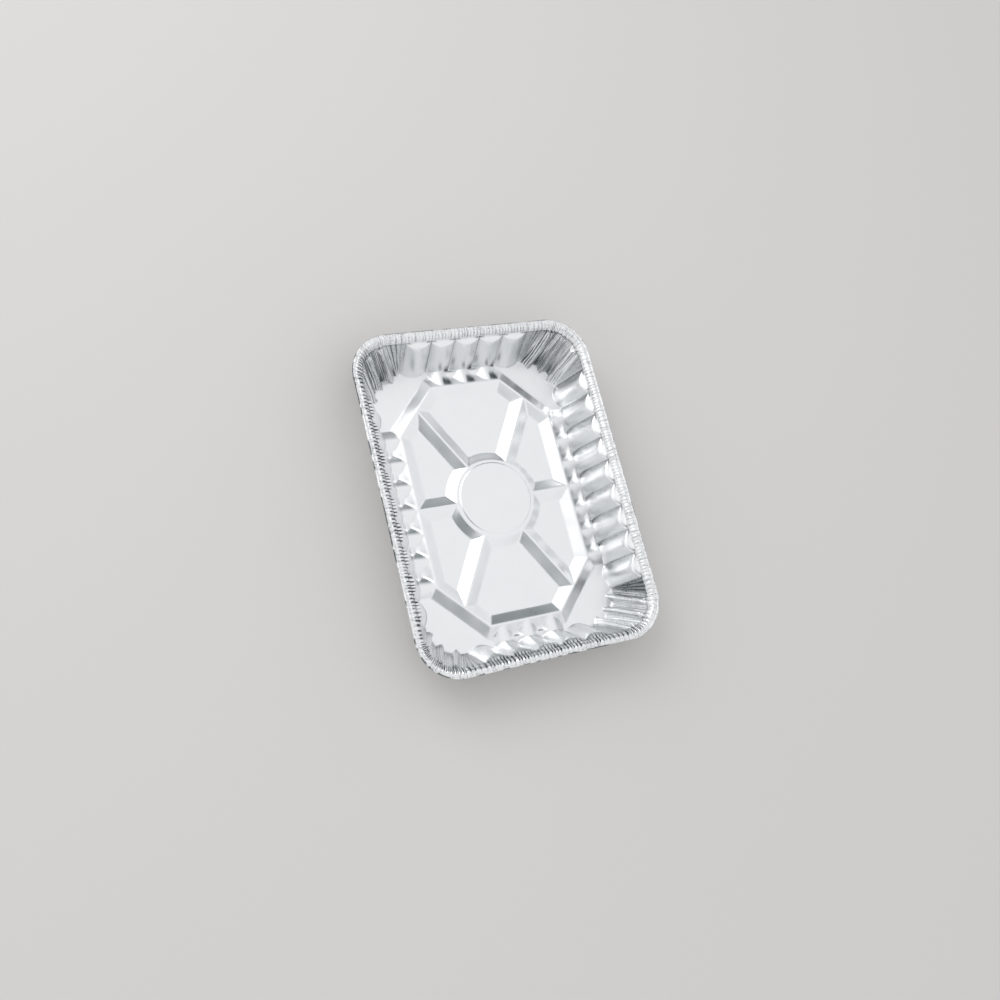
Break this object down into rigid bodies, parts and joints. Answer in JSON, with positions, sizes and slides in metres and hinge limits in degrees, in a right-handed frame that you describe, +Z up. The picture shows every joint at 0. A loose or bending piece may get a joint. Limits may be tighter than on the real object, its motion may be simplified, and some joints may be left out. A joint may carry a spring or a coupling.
{
  "type": "foil roasting pan",
  "caption": "Shallow rectangular aluminium foil roasting pan with fluted sloping walls, folded corners, a rolled rim and a ribbed floor, for roasting, baking and serving food.",
  "frame": {"origin": "middle of the underside, on the surface that the pan stands on", "axes": "+Z up through the open top, +Y along the pan's long side, +X across its width"},
  "size_m": [0.246, 0.33, 0.045],
  "materials": {
    "foil": "bright pressed foil with faint crinkles"
  },
  "bodies": {
    "root": {"foil_pan": "foil"}
  },
  "joints": []
}
